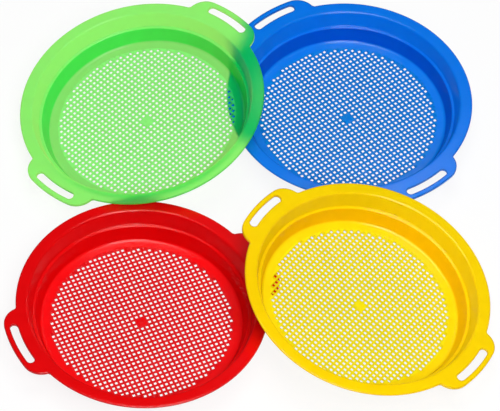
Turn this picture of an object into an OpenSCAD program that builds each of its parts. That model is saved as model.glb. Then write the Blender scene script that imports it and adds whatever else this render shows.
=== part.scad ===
// A set of four sand sieves, each one moulding, laid out partly on top of each other.
// The origin is at the middle of the red sieve's base, on the ground. Sizes are in millimetres.

/* [Rim] */
// Outer diameter of the flat rim
rim_d = 230; // [200:1:260]
// Width of the flat rim
rim_w = 11.4; // [9:0.1:14]
// Thickness of the rim and of the handles
rim_t = 2.2; // [1.8:0.1:3]
// Round on the rim's upper inner corner
rim_corner_r = 2; // [1:0.1:3]

/* [Bowl] */
// Height of a sieve from its base to the top of its rim
height = 32; // [28:0.5:38]
// Thickness of the walls
wall_t = 1.8; // [1.4:0.1:2.2]
// Thickness of the solid ring of floor
floor_t = 2; // [1.6:0.1:2.6]
// Height of the step half-way up the inside
step_z = 17; // [14:0.5:20]
// Width of that step
step_w = 2.5; // [1.5:0.1:4]
// Round on that step's edge
step_edge_r = 1; // [0.5:0.1:1.5]
// How far the wall above the step leans outwards
upper_lean = 4.1; // [2:0.1:6]
// How far the wall below the step leans outwards
lower_lean = 5; // [2:0.1:7]
// Round between the floor and the wall
floor_corner_r = 3; // [1.5:0.1:4]
// Round on the lower edge of the base
base_edge_r = 2; // [1:0.1:2.6]

/* [Mesh] */
// Distance from one mesh hole to the next
mesh_pitch = 4.6; // [4.2:0.1:6]
// Width of a square mesh hole
hole_w = 2.6; // [2.2:0.1:3.2]
// Width of the solid ring of floor round the mesh
floor_ring_w = 8; // [5:0.5:12]
// How far the mesh stands above the ground
mesh_lift = 0.4; // [0.2:0.1:0.8]
// Diameter of the moulding mark in the middle of the mesh
gate_d = 3.2; // [2:0.1:5]
// Height of that mark
gate_h = 0.5; // [0.3:0.1:1]

/* [Handles] */
// How far a handle reaches past the rim
handle_reach = 13; // [11:0.5:16]
// Width of a handle where it leaves the rim
handle_w = 76; // [70:1:90]
// Round on a handle's outer corners
handle_corner_r = 18; // [10:0.5:22]
// Round where a handle runs into the rim
handle_root_r = 2; // [1:0.5:4]
// Width of the finger slot
slot_w = 7.5; // [5:0.1:8.5]
// Length of the finger slot from end to end
slot_l = 45; // [34:1:48]
// Distance from the rim's edge to the finger slot
slot_gap = 0.8; // [0.4:0.1:2]

/* [Set] */
// How far the yellow sieve lies over the red one
yellow_overlap = 31.5; // [28:0.5:44]
// How far the green sieve lies over the blue one
blue_overlap = 39.5; // [34:0.5:48]
// Bearing of the yellow sieve, seen from the red one
yellow_bearing = 7; // [3:0.5:11]
// Bearing of the green sieve, seen from the red one
green_bearing = 93; // [89:0.5:97]
// Bearing of the blue sieve, seen from the green one
blue_bearing = 10.5; // [7:0.5:14]
// Bearing towards which the yellow sieve rises
yellow_uphill = 177; // [172:1:182]
// Bearing towards which the green sieve rises
green_uphill = 11; // [5:1:16]
// Bearing of a handle on the red sieve
red_turn = 28; // [20:1:34]
// Bearing of a handle on the blue sieve
blue_turn = 130; // [120:1:140]
// Bearing of a handle on the green sieve
green_turn = 51; // [40:1:60]
// Bearing of a handle on the yellow sieve
yellow_turn = 148; // [140:1:155]
// Gap left where one sieve rests on another
rest_gap = 0.35; // [0.2:0.05:0.6]

/* [Hidden] */
$fn = 96;
arc_steps = 6;
lean_steps = 6;
quarter_turn = 90;
half_turn = 180;
full_turn = 360;
// Angle between the points at which a sieve's edge is followed
edge_turn = 0.1;
// How far a wedge's point lies past the circle that trims it, as a share of its radius
past_share = 1.2;

// Radii of the bowl, from the rim down to the mesh and the foot ring round it
rim_r = rim_d / 2;
bowl_r = rim_r - rim_w;
step_outer_r = bowl_r - upper_lean;
step_inner_r = step_outer_r - step_w;
floor_r = step_inner_r - lower_lean;
mesh_r = floor_r - floor_ring_w;
foot_r = mesh_r + mesh_lift;

// Angles of the two walls from upright, and the lower edge's rounding circle
upper_angle = atan2(upper_lean, height - step_z);
lower_angle = atan2(lower_lean, step_z - floor_t);
base_round_r = floor_r + wall_t - floor_t * tan(lower_angle) - round_offset(base_edge_r, lower_angle);

// Rib layers of the mesh
mesh_mid_z = (floor_t + mesh_lift) / 2;
mesh_rows = ceil(mesh_r / mesh_pitch);

// Middles of the round corners of a handle, and of the rounds at its roots
handle_r = rim_r + handle_reach;
corner_dist = handle_r - handle_corner_r;
corner_angle = asin(handle_w / rim_d) - apex_angle(rim_r, corner_dist, handle_corner_r);
root_dist = rim_r + handle_root_r;
root_angle = corner_angle + apex_angle(corner_dist, root_dist, handle_corner_r + handle_root_r);

// Finger slot, along the middle of a handle
slot_r = rim_r + slot_gap + slot_w / 2;
slot_half_angle = asin((slot_l - slot_w) / 2 / slot_r);

// The green sieve rests on the blue one's rim, and against the red one's rim
blue_dist = rim_d - blue_overlap;
green_lean = lean(blue_dist * heading(blue_bearing), blue_turn, green_uphill);
green_slope = sin(green_lean) * cos(green_bearing - green_uphill);
red_rim_on_green_z = (height - rim_t / 2 - rise(green_lean) + bowl_r * green_slope) / cos(green_lean);
green_dist = rim_r + outer_wall_r(red_rim_on_green_z) + red_rim_on_green_z * green_slope + rest_gap;
green_place = green_dist * heading(green_bearing);
blue_place = green_place + blue_dist * heading(blue_bearing);

// The yellow sieve rests on the corner of a handle of the red one
yellow_dist = rim_d - yellow_overlap;
yellow_place = yellow_dist * heading(yellow_bearing);
yellow_lean = lean(-yellow_place, red_turn, yellow_uphill);

// Unit step along a bearing
function heading(bearing) = [cos(bearing), sin(bearing)];

// Angle between two sides of a triangle, from its three sides
function apex_angle(side, next_side, far_side) =
    acos((pow(side, 2) + pow(next_side, 2) - pow(far_side, 2)) / (2 * side * next_side));

// Points on an arc, from one angle to another
function arc(centre, radius, from, to) = [
    for (i = [0 : arc_steps])
        centre + radius * heading(from + (to - from) * i / arc_steps)
];

// How far a corner's rounding circle stands from the corner, along the level face
function round_offset(radius, angle) = radius * (1 / cos(angle) - tan(angle));

// Outer radius of the upper wall at a height
function outer_wall_r(z) = step_outer_r + wall_t + (z - step_z + wall_t) * tan(upper_angle);

// How far a sieve's edge lies from its middle, at an angle from its handles
function edge_r(angle) =
    let (
        past_corner = acos(abs(cos(angle))) - corner_angle,
        aside = corner_dist * sin(past_corner)
    )
    past_corner < 0 ? handle_r
        : aside > handle_corner_r ? rim_r
        : max(rim_r, corner_dist * cos(past_corner) + sqrt(pow(handle_corner_r, 2) - pow(aside, 2)));

// Lean of a sieve whose base comes down on one point, at a distance uphill of its middle
function lean_on(reach, seat_z, angle = 0, steps = lean_steps) =
    steps == 0 ? angle
        : lean_on(reach, seat_z, asin(seat_z / (base_round_r + reach / cos(angle))), steps - 1);

// Lean of a sieve that rests on the edge of a flat one, which lies at a place seen from its middle
function lean(place, turn, uphill) = max([
    for (bearing = [0 : edge_turn : full_turn])
        let (
            spot = place + edge_r(bearing - turn) * heading(bearing),
            lift = norm(spot) < mesh_r ? mesh_lift : 0
        )
        if (norm(spot) < base_round_r)
            lean_on(spot * heading(uphill), height + rest_gap - lift)
]);

// Height of the middle of the base of a sieve that leans
function rise(angle) = base_round_r * sin(angle) + base_edge_r * (1 - cos(angle));

// Half of a sieve's cross-section, outside the mesh
module wall_section() {
    polygon(concat(
        [[foot_r, 0]],
        arc([base_round_r, base_edge_r], base_edge_r, -quarter_turn, -lower_angle),
        [[step_inner_r + wall_t, step_z - wall_t]],
        [[step_outer_r + wall_t, step_z - wall_t]],
        [[outer_wall_r(height - rim_t), height - rim_t]],
        arc([rim_r - rim_t / 2, height - rim_t / 2], rim_t / 2, -quarter_turn, quarter_turn),
        arc([bowl_r + round_offset(rim_corner_r, upper_angle), height - rim_corner_r], rim_corner_r,
            quarter_turn, half_turn - upper_angle),
        [[step_outer_r, step_z]],
        arc([step_inner_r + round_offset(step_edge_r, lower_angle), step_z - step_edge_r], step_edge_r,
            quarter_turn, half_turn - lower_angle),
        arc([floor_r - round_offset(floor_corner_r, lower_angle), floor_t + floor_corner_r], floor_corner_r,
            -lower_angle, -quarter_turn),
        [[foot_r, floor_t]]
    ));
}

// One layer of parallel ribs, with the gaps between them stopping short of the solid ring
module rib_layer(low_z, high_z) {
    translate([0, 0, low_z])
        linear_extrude(high_z - low_z)
            difference() {
                circle(r = mesh_r + floor_ring_w / 2);
                for (row = [-mesh_rows + 1 : mesh_rows]) {
                    gap_y = (row - 1 / 2) * mesh_pitch;
                    far_y = abs(gap_y) + hole_w / 2;
                    if (far_y < mesh_r - hole_w / 2)
                        translate([0, gap_y])
                            square([2 * sqrt(pow(mesh_r, 2) - pow(far_y, 2)), hole_w], center = true);
                }
            }
}

// Crossed ribs, with a square pad and the moulding mark in the middle
module mesh_floor() {
    rib_layer(mesh_lift, mesh_mid_z);
    rotate(quarter_turn)
        rib_layer(mesh_mid_z, floor_t);
    linear_extrude(floor_t)
        square(2 * mesh_pitch, center = true);
    translate([0, 0, mesh_mid_z])
        cylinder(d = gate_d, h = floor_t + gate_h - mesh_mid_z);
}

// Curved slot for the fingers, with round ends
module finger_slot() {
    intersection() {
        difference() {
            circle(r = slot_r + slot_w / 2);
            circle(r = slot_r - slot_w / 2);
        }
        polygon(concat([[0, 0]], [
            for (side = [-1, 1]) past_share * handle_r * heading(side * slot_half_angle)
        ]));
    }
    for (side = [-1, 1])
        translate(slot_r * heading(side * slot_half_angle))
            circle(d = slot_w);
}

// Outline of a handle, from the middle of the rim outwards
module handle_outline() {
    difference() {
        union() {
            intersection() {
                circle(r = handle_r);
                polygon(concat([[0, 0]], [
                    for (side = [-1, 1]) past_share * handle_r * heading(side * corner_angle)
                ]));
            }
            for (side = [-1, 1]) {
                translate(corner_dist * heading(side * corner_angle))
                    circle(r = handle_corner_r);
                polygon([
                    [0, 0],
                    corner_dist * heading(side * corner_angle),
                    root_dist * heading(side * root_angle)
                ]);
            }
        }
        circle(r = rim_r - rim_w / 2);
        for (side = [-1, 1])
            translate(root_dist * heading(side * root_angle))
                circle(r = handle_root_r);
        finger_slot();
    }
}

// One whole sieve, standing on its base with its handles along X
module sieve() {
    rotate_extrude()
        wall_section();
    mesh_floor();
    for (turn = [0, half_turn])
        rotate(turn)
            translate([0, 0, height - rim_t])
                linear_extrude(rim_t)
                    handle_outline();
}

// A sieve at its place, leaning so that it rises towards a bearing
module laid_sieve(place, turn, angle = 0, uphill = 0) {
    translate([place.x, place.y, rise(angle)])
        rotate(uphill)
            rotate([0, -angle, 0])
                rotate(turn - uphill)
                    sieve();
}

module red_sieve() {
    color([0.88, 0.04, 0.05])
        laid_sieve([0, 0], red_turn);
}

module blue_sieve() {
    color([0.05, 0.40, 0.85])
        laid_sieve(blue_place, blue_turn);
}

module green_sieve() {
    color([0.45, 0.85, 0.38])
        laid_sieve(green_place, green_turn, green_lean, green_uphill);
}

module yellow_sieve() {
    color([0.98, 0.80, 0.02])
        laid_sieve(yellow_place, yellow_turn, yellow_lean, yellow_uphill);
}

red_sieve();
blue_sieve();
green_sieve();
yellow_sieve();
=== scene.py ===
"""Looks of a set of four sand sieves: glossy, slightly see-through plastic on a white studio floor."""
import math

import bpy
import numpy as np
from mathutils import Matrix, Vector

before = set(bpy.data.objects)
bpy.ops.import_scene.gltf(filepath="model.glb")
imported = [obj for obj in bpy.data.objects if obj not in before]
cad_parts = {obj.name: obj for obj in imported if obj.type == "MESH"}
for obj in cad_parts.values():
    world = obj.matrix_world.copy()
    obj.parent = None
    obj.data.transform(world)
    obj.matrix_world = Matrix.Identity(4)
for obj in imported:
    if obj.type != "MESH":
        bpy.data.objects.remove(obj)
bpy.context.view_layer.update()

# Camera, as fitted to the photograph: lengths in metres, angles in degrees
TARGET = (0.0904, 0.1424, 0.0)
CAMERA_DISTANCE = 4.64
CAMERA_PITCH = 53.3
CAMERA_ROLL = 4.38
RIGHT_ANGLE = 90.0
LENS_MM = 360.0
SENSOR_MM = 36.0
CLIP_END = 20.0

# Linear colours of each plastic; the last value of the face, lower-wall and floor colours is the share
# that the resin tints. The face colour is the plastic's own, and the resin colour tints light through it.
# The lower-wall and floor colours are painted shade and light: the lower wall is darker, and the floor
# ring is lighter for red and yellow and darker for green. The ribs colour is painted light, paler as if
# lit through the thin mesh. The edge colour is painted shade along the rim and handle edges.
PLASTICS = {
    "red": {
        "face": (0.74, 0.0, 0.001, 0.05),
        "shaded_wall": (0.72, 0.0, 0.001, 0.0),
        "floor": (0.88, 0.002, 0.004, 0.05),
        "ribs": (0.86, 0.003, 0.006, 1.0),
        "edge": (0.34, 0.0, 0.001, 1.0),
        "resin": (1.0, 0.02, 0.03, 1.0),
    },
    "blue": {
        "face": (0.0, 0.19, 0.83, 0.05),
        "shaded_wall": (0.0, 0.10, 0.64, 0.0),
        "floor": (0.002, 0.20, 0.80, 0.05),
        "ribs": (0.0, 0.22, 0.76, 1.0),
        "edge": (0.0, 0.045, 0.30, 1.0),
        "resin": (0.02, 0.4, 1.0, 1.0),
    },
    "green": {
        "face": (0.0, 0.90, 0.165, 0.52),
        "shaded_wall": (0.01, 0.74, 0.08, 0.1),
        "floor": (0.0, 0.60, 0.15, 0.45),
        "ribs": (0.06, 0.92, 0.26, 1.0),
        "edge": (0.02, 0.46, 0.05, 1.0),
        "resin": (0.56, 0.95, 0.18, 1.0),
    },
    "yellow": {
        "face": (1.0, 0.66, 0.0, 0.06),
        "shaded_wall": (0.99, 0.53, 0.0, 0.0),
        "floor": (1.0, 0.70, 0.002, 0.06),
        "ribs": (1.0, 0.80, 0.004, 1.0),
        "edge": (0.74, 0.36, 0.0, 1.0),
        "resin": (1.0, 0.85, 0.02, 1.0),
    },
}

# Shares of a sieve's height at which the floor ends, at the step between the walls, and at the rim
FLOOR_END_SHARES = (0.08, 0.12)
STEP_SHARES = (0.50, 0.54)
RIM_SHARES = (0.90, 0.93)

# Radius of the mesh in metres, between the last rib and the solid ring
MESH_RADII = (0.0835, 0.0845)

# Moulded surface: gloss, see-through depth, and the size and depth of its unevenness
GLOSS_SHARES = (0.12, 0.20)
SPECULAR_SHARE = 0.35
GLOW_SHARE = 0.5
GLOW_DEPTH = 0.003
GLOW_COLOUR_SHARES = (1.0, 1.0, 1.0)
MILK_ROUGHNESS_SHARE = 0.7
MILK_IOR = 1.5
FLOW_SCALE = 9.0
FLOW_SHARES = (0.94, 1.06)
GRAIN_SCALE = 900.0
GRAIN_SHARES = (0.98, 1.02)
RIPPLE_SCALE = 140.0
RIPPLE_DEPTH = 0.00004
RIPPLE_STRENGTH = 0.12
EDGE_ROUND = 0.002
EDGE_SAMPLES = 4
# Turns of the rounded normal from the face's own, between which the painted shade along edges fades in
EDGE_TURN_SHARES = (0.80, 0.995)

# Spans of a value that rises or falls, and the shares of X, Y and Z that leave a place's level part
RISING_SHARES = (0.0, 1.0)
FALLING_SHARES = (1.0, 0.0)
LEVEL_SHARES = (1.0, 1.0, 0.0)

# Studio: lengths in metres, and each lamp's place, size and watts
WHITE = (1.0, 1.0, 1.0, 1.0)
FLOOR_SIZE = 8.0
FLOOR_DROP = 0.0002
FLOOR_COLOUR = (0.94, 0.94, 0.94, 1.0)
FLOOR_ROUGHNESS_SHARE = 1.0
FLOOR_GLOW_SHARE = 0.88
LAMPS = {
    "key": ((0.5, -1.2, 1.9), 1.0, 34.0),
    "overhead": ((0.1, 0.1, 2.0), 1.0, 19.0),
    "sheen": ((0.27, 0.98, 1.23), 0.22, 0.45),
}
WORLD_SHARES = (0.06, 1.0)


def add_node(tree, kind, **settings):
    """Adds a shader node and sets its options."""
    node = tree.nodes.new(kind)
    for name, value in settings.items():
        setattr(node, name, value)
    return node


def remap(tree, value, span, result):
    """Turns a value in one span into one in another."""
    spread = add_node(tree, "ShaderNodeMapRange")
    spread.inputs["From Min"].default_value, spread.inputs["From Max"].default_value = span
    spread.inputs["To Min"].default_value, spread.inputs["To Max"].default_value = result
    tree.links.new(value, spread.inputs["Value"])
    return spread.outputs["Result"]


def combine(tree, operation, first, second):
    """Combines two values by one operation, such as a product or the larger of the two."""
    both = add_node(tree, "ShaderNodeMath", operation=operation)
    tree.links.new(first, both.inputs[0])
    tree.links.new(second, both.inputs[1])
    return both.outputs["Value"]


def own_axes(sieve):
    """Middle of a sieve's base, the turn of its axis and its height, from its own points."""
    points = np.array([point.co for point in sieve.data.vertices])
    middle = points.mean(axis=0)
    axes = np.linalg.eigh(np.cov((points - middle).T))[1]
    upward = axes[:, 0] * np.sign(axes[2, 0])
    heights = (points - middle) @ upward
    base = middle + heights.min() * upward
    return base, Vector(upward).to_track_quat("Z", "Y").to_euler(), np.ptp(heights)


def own_place(tree, base, turn):
    """Place on a sieve, measured from the middle of its base."""
    place = add_node(tree, "ShaderNodeTexCoord").outputs["Object"]
    own = add_node(tree, "ShaderNodeMapping", vector_type="TEXTURE")
    own.inputs["Location"].default_value = base
    own.inputs["Rotation"].default_value = turn
    tree.links.new(place, own.inputs["Vector"])
    return own.outputs["Vector"]


def direction(tree, place):
    """Direction from the middle of the base, which stays the same along a line outwards."""
    outwards = add_node(tree, "ShaderNodeVectorMath", operation="NORMALIZE")
    tree.links.new(place, outwards.inputs[0])
    return outwards.outputs["Vector"]


def noise(tree, place, scale, shares):
    """Soft noise between two values, at a scale in waves per metre."""
    texture = add_node(tree, "ShaderNodeTexNoise")
    texture.inputs["Scale"].default_value = scale
    tree.links.new(place, texture.inputs["Vector"])
    return remap(tree, texture.outputs["Fac"], RISING_SHARES, shares)


def edge_mask(tree):
    """Normal with rounded edges, and a mask that rises from zero on open faces to one along edges, where
    shade is painted.
    """
    rounded = add_node(tree, "ShaderNodeBevel", samples=EDGE_SAMPLES)
    rounded.inputs["Radius"].default_value = EDGE_ROUND
    face = add_node(tree, "ShaderNodeNewGeometry")
    turn = add_node(tree, "ShaderNodeVectorMath", operation="DOT_PRODUCT")
    tree.links.new(rounded.outputs["Normal"], turn.inputs[0])
    tree.links.new(face.outputs["Normal"], turn.inputs[1])
    return rounded.outputs["Normal"], remap(tree, turn.outputs["Value"], EDGE_TURN_SHARES, FALLING_SHARES)


def mesh_mask(tree, place):
    """One on the mesh, falling to zero on the solid ring round it."""
    level_part = add_node(tree, "ShaderNodeVectorMath", operation="MULTIPLY")
    level_part.inputs[1].default_value = LEVEL_SHARES
    tree.links.new(place, level_part.inputs[0])
    radius = add_node(tree, "ShaderNodeVectorMath", operation="LENGTH")
    tree.links.new(level_part.outputs["Vector"], radius.inputs[0])
    return remap(tree, radius.outputs["Value"], MESH_RADII, FALLING_SHARES)


def mix_colour(tree, share, first, second):
    """Mixes a colour with a fixed one."""
    mix = add_node(tree, "ShaderNodeMix", data_type="RGBA")
    mix.inputs["B"].default_value = second
    tree.links.new(share, mix.inputs["Factor"])
    tree.links.new(first, mix.inputs["A"])
    return mix.outputs["Result"]


def height_share(tree, place, height):
    """Height above the base, as a share of the sieve's height."""
    axes = add_node(tree, "ShaderNodeSeparateXYZ")
    tree.links.new(place, axes.inputs["Vector"])
    share = add_node(tree, "ShaderNodeMath", operation="DIVIDE")
    share.inputs[1].default_value = height
    tree.links.new(axes.outputs["Z"], share.inputs[0])
    return share.outputs["Value"]


def bands(tree, level, floor, shaded_wall, face):
    """Colour and milky share on the floor, on the lower wall and from the step upwards; the floor and
    lower-wall colours are painted light and shade, and the lower wall's smaller milky share darkens it
    further.
    """
    ramp = add_node(tree, "ShaderNodeValToRGB")
    stops = ramp.color_ramp.elements
    shares = FLOOR_END_SHARES + STEP_SHARES
    while len(stops) < len(shares):
        stops.new(0.0)
    for stop, position, colour in zip(stops, shares, (floor, shaded_wall, shaded_wall, face)):
        stop.position = position
        stop.color = colour
    tree.links.new(level, ramp.inputs["Fac"])
    return ramp.outputs["Color"], ramp.outputs["Alpha"]


def rim_edges(tree, level, edges):
    """Painted shade along the edges, on the rim and the handles alone."""
    return combine(tree, "MULTIPLY", remap(tree, level, RIM_SHARES, RISING_SHARES), edges)


def speckle(tree, place, colour):
    """Faint flow marks outwards from the middle, and a fine pigment grain."""
    flow = noise(tree, direction(tree, place), FLOW_SCALE, FLOW_SHARES)
    grain = noise(tree, place, GRAIN_SCALE, GRAIN_SHARES)
    tint = add_node(tree, "ShaderNodeHueSaturation")
    tree.links.new(colour, tint.inputs["Color"])
    tree.links.new(combine(tree, "MULTIPLY", flow, grain), tint.inputs["Value"])
    return tint.outputs["Color"]


def ripple(tree, place, normal):
    """Faint unevenness of a moulded face."""
    bump = add_node(tree, "ShaderNodeBump")
    bump.inputs["Strength"].default_value = RIPPLE_STRENGTH
    bump.inputs["Distance"].default_value = RIPPLE_DEPTH
    tree.links.new(noise(tree, place, RIPPLE_SCALE, RISING_SHARES), bump.inputs["Height"])
    tree.links.new(normal, bump.inputs["Normal"])
    return bump.outputs["Normal"]


def blend(tree, share, first, second):
    """Mixes two shaders."""
    mix = add_node(tree, "ShaderNodeMixShader")
    tree.links.new(share, mix.inputs["Fac"])
    tree.links.new(first, mix.inputs[1])
    tree.links.new(second, mix.inputs[2])
    return mix.outputs["Shader"]


def make_milky(tree, shader, resin, share):
    """Scatters a share of the light into the plastic, and lets it out again on the far side."""
    scatter = add_node(tree, "ShaderNodeBsdfRefraction")
    scatter.inputs["Color"].default_value = resin
    scatter.inputs["Roughness"].default_value = MILK_ROUGHNESS_SHARE
    scatter.inputs["IOR"].default_value = MILK_IOR
    inward = blend(tree, share, shader.outputs["BSDF"], scatter.outputs["BSDF"])
    leaving = add_node(tree, "ShaderNodeNewGeometry").outputs["Backfacing"]
    outward = add_node(tree, "ShaderNodeBsdfTransparent").outputs["BSDF"]
    surface = blend(tree, leaving, inward, outward)
    tree.links.new(surface, tree.nodes["Material Output"].inputs["Surface"])


def set_glow(shader):
    """Gives the plastic its shine and the soft glow under its surface."""
    shader.inputs["Specular IOR Level"].default_value = SPECULAR_SHARE
    shader.inputs["Subsurface Weight"].default_value = GLOW_SHARE
    shader.inputs["Subsurface Radius"].default_value = GLOW_COLOUR_SHARES
    shader.inputs["Subsurface Scale"].default_value = GLOW_DEPTH


def plastic(name, sieve, face, shaded_wall, floor, ribs, edge, resin):
    """Moulded plastic: glossy, a little milky, with rounded edges and a faint ripple, and painted light
    and shade: a darker lower wall, a lit and shaded floor ring, paler mesh ribs and darker rim and handle
    edges.
    """
    material = bpy.data.materials.new(name)
    material.use_nodes = True
    tree = material.node_tree
    shader = tree.nodes["Principled BSDF"]
    base, turn, height = own_axes(sieve)
    place = own_place(tree, base, turn)
    level = height_share(tree, place, height)
    normal, edges = edge_mask(tree)
    # Painted light and shade: the floor ring and the lower wall get lit and shaded copies of the face
    # colour, and the lower wall is less milky, which darkens it further
    colour, milky_share = bands(tree, level, floor, shaded_wall, face)
    # Painted shade along the rim and handle edges, in the darker edge colour
    colour = mix_colour(tree, rim_edges(tree, level, edges), colour, edge)
    # Painted light: the mesh ribs get a paler copy of the plastic's colour, as if lit from below through
    # the thin ribs
    colour = mix_colour(tree, mesh_mask(tree, place), colour, ribs)
    gloss = noise(tree, direction(tree, place), FLOW_SCALE, GLOSS_SHARES)
    tree.links.new(speckle(tree, place, colour), shader.inputs["Base Color"])
    tree.links.new(gloss, shader.inputs["Roughness"])
    tree.links.new(ripple(tree, place, normal), shader.inputs["Normal"])
    set_glow(shader)
    make_milky(tree, shader, resin, milky_share)
    return material


def dress(body, colours):
    """Gives a sieve its plastic."""
    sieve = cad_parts[f"{body}_sieve"]
    sieve.data.materials.clear()
    sieve.data.materials.append(plastic(f"{body}_plastic", sieve, **colours))


def background_rays(tree):
    """One for light that the camera sees straight, in a reflection or through the plastic."""
    rays = add_node(tree, "ShaderNodeLightPath")
    seen = rays.outputs["Is Camera Ray"]
    for ray in ("Is Glossy Ray", "Is Transmission Ray"):
        seen = combine(tree, "MAXIMUM", seen, rays.outputs[ray])
    return seen


def floor_white():
    """White floor that looks bright to the camera and in reflections, and still takes shadows."""
    material = bpy.data.materials.new("floor_white")
    material.use_nodes = True
    tree = material.node_tree
    shader = tree.nodes["Principled BSDF"]
    shader.inputs["Base Color"].default_value = FLOOR_COLOUR
    shader.inputs["Roughness"].default_value = FLOOR_ROUGHNESS_SHARE
    shader.inputs["Specular IOR Level"].default_value = 0.0
    glow = add_node(tree, "ShaderNodeEmission")
    share = remap(tree, background_rays(tree), RISING_SHARES, (0.0, FLOOR_GLOW_SHARE))
    surface = blend(tree, share, shader.outputs["BSDF"], glow.outputs["Emission"])
    tree.links.new(surface, tree.nodes["Material Output"].inputs["Surface"])
    return material


def make_floor():
    """Studio floor, just under the sieves."""
    half = FLOOR_SIZE / 2
    mesh = bpy.data.meshes.new("studio_floor")
    corners = [(TARGET[0] + x, TARGET[1] + y, -FLOOR_DROP) for x, y in
               ((-half, -half), (half, -half), (half, half), (-half, half))]
    mesh.from_pydata(corners, [], [(0, 1, 2, 3)])
    mesh.materials.append(floor_white())
    floor = bpy.data.objects.new("studio_floor", mesh)
    bpy.context.scene.collection.objects.link(floor)


def make_lamp(name, place, size, watts):
    """Soft box aimed at the middle of the set."""
    data = bpy.data.lights.new(name, "AREA")
    data.size = size
    data.energy = watts
    lamp = bpy.data.objects.new(name, data)
    lamp.location = place
    lamp.rotation_euler = (Vector(TARGET) - Vector(place)).to_track_quat("-Z", "Y").to_euler()
    bpy.context.scene.collection.objects.link(lamp)


def make_world():
    """Dim even light from all round, which the camera sees as white."""
    world = bpy.data.worlds.new("studio")
    world.use_nodes = True
    tree = world.node_tree
    seen = add_node(tree, "ShaderNodeLightPath").outputs["Is Camera Ray"]
    background = tree.nodes["Background"]
    background.inputs["Color"].default_value = WHITE
    tree.links.new(remap(tree, seen, RISING_SHARES, WORLD_SHARES), background.inputs["Strength"])
    bpy.context.scene.world = world


def make_camera():
    """Camera at the photograph's viewing angle."""
    data = bpy.data.cameras.new("camera")
    data.lens = LENS_MM
    data.sensor_width = SENSOR_MM
    data.sensor_fit = "HORIZONTAL"
    data.clip_end = CLIP_END
    camera = bpy.data.objects.new("camera", data)
    tilt = Matrix.Rotation(math.radians(RIGHT_ANGLE - CAMERA_PITCH), 3, "X")
    roll = Matrix.Rotation(math.radians(CAMERA_ROLL), 3, "Z")
    camera.location = Vector(TARGET) + tilt @ Vector((0.0, 0.0, CAMERA_DISTANCE))
    camera.rotation_euler = (tilt @ roll).to_euler()
    bpy.context.scene.collection.objects.link(camera)
    bpy.context.scene.camera = camera


for body, colours in PLASTICS.items():
    dress(body, colours)
make_floor()
for name, lamp in LAMPS.items():
    make_lamp(name, *lamp)
make_world()
make_camera()
bpy.context.scene.view_settings.view_transform = "Standard"
